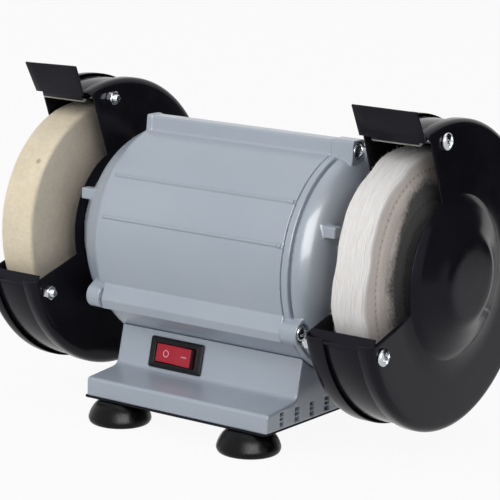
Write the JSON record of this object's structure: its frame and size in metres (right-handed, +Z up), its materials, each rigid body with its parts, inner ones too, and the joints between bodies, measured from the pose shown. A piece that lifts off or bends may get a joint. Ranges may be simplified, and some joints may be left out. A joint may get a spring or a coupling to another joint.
{
  "type": "bench polishing machine",
  "caption": "Bench polisher: a motor on a cast pedestal with rubber feet turns a felt wheel and a stitched cloth wheel inside sheet-steel guards open at the front.",
  "frame": {"origin": "on the bench plane, at the middle of the machine's overall length and depth", "axes": "+X along the shaft towards the cloth wheel, -Y towards the operator, +Z up"},
  "size_m": [0.314, 0.182, 0.2114],
  "materials": {
    "body_paint": "glossy light grey-blue enamel on die castings",
    "guard_paint": "glossy black enamel on pressed sheet steel",
    "zinc": "bright zinc plate",
    "steel": "turned steel",
    "laminations": "stacked sheet steel",
    "copper": "varnished copper wire",
    "foot_rubber": "moulded, slightly shiny",
    "felt": "hard pressed wool felt",
    "cloth": "stitched cotton plies with a soft edge",
    "black_plastic": "satin moulded",
    "red_plastic": "glossy moulded",
    "white_plastic": "moulded"
  },
  "bodies": {
    "machine": {"motor_housing": "body_paint", "end_bell": "body_paint", "tie_bolt_top": "zinc", "tie_bolt_front": "zinc", "tie_bolt_rear": "zinc", "stator_core": "laminations", "bearing_left": "steel", "winding_left": "copper", "guard_pan_left": "guard_paint", "guard_cover_left": "guard_paint", "guard_rim_left": "guard_paint", "guard_flap_left": "guard_paint", "guard_bolt_left_top": "zinc", "guard_nut_left_top": "zinc", "guard_bolt_left_front": "zinc", "guard_nut_left_front": "zinc", "guard_bolt_left_rear": "zinc", "guard_nut_left_rear": "zinc", "guard_screw_left_upper": "zinc", "guard_screw_left_front": "zinc", "guard_screw_left_rear": "zinc", "bearing_right": "steel", "winding_right": "copper", "guard_pan_right": "guard_paint", "guard_cover_right": "guard_paint", "guard_rim_right": "guard_paint", "guard_flap_right": "guard_paint", "guard_bolt_right_top": "zinc", "guard_nut_right_top": "zinc", "guard_bolt_right_front": "zinc", "guard_nut_right_front": "zinc", "guard_bolt_right_rear": "zinc", "guard_nut_right_rear": "zinc", "guard_screw_right_upper": "zinc", "guard_screw_right_front": "zinc", "guard_screw_right_rear": "zinc", "switch_bezel": "black_plastic", "cord_gland": "black_plastic", "pedestal": "body_paint", "base_plate": "guard_paint", "foot_front_left": "foot_rubber", "foot_front_right": "foot_rubber", "foot_rear_left": "foot_rubber", "foot_rear_right": "foot_rubber", "saddle_screw_left": "zinc", "saddle_screw_right": "zinc", "capacitor": "white_plastic"},
    "arbor": {"rotor": "laminations", "shaft": "steel", "felt_wheel": "felt", "cloth_wheel": "cloth", "flange_left_inner": "steel", "flange_left_outer": "steel", "flange_right_inner": "steel", "flange_right_outer": "steel", "arbor_nut_left": "zinc", "arbor_nut_right": "zinc"},
    "rocker": {"switch_rocker": "red_plastic"}
  },
  "joints": [
    {"name": "arbor_spin", "type": "hinge", "parent": "machine", "child": "arbor", "pos_m": [0, -0.002, 0.1088], "axis": [1, 0, 0], "continuous": true},
    {"name": "switch_press", "type": "hinge", "parent": "machine", "child": "rocker", "pos_m": [-0.0233, -0.04922, 0.04198], "axis": [0, 0.2243, 0.9745], "range_deg": [0, 16]}
  ]
}
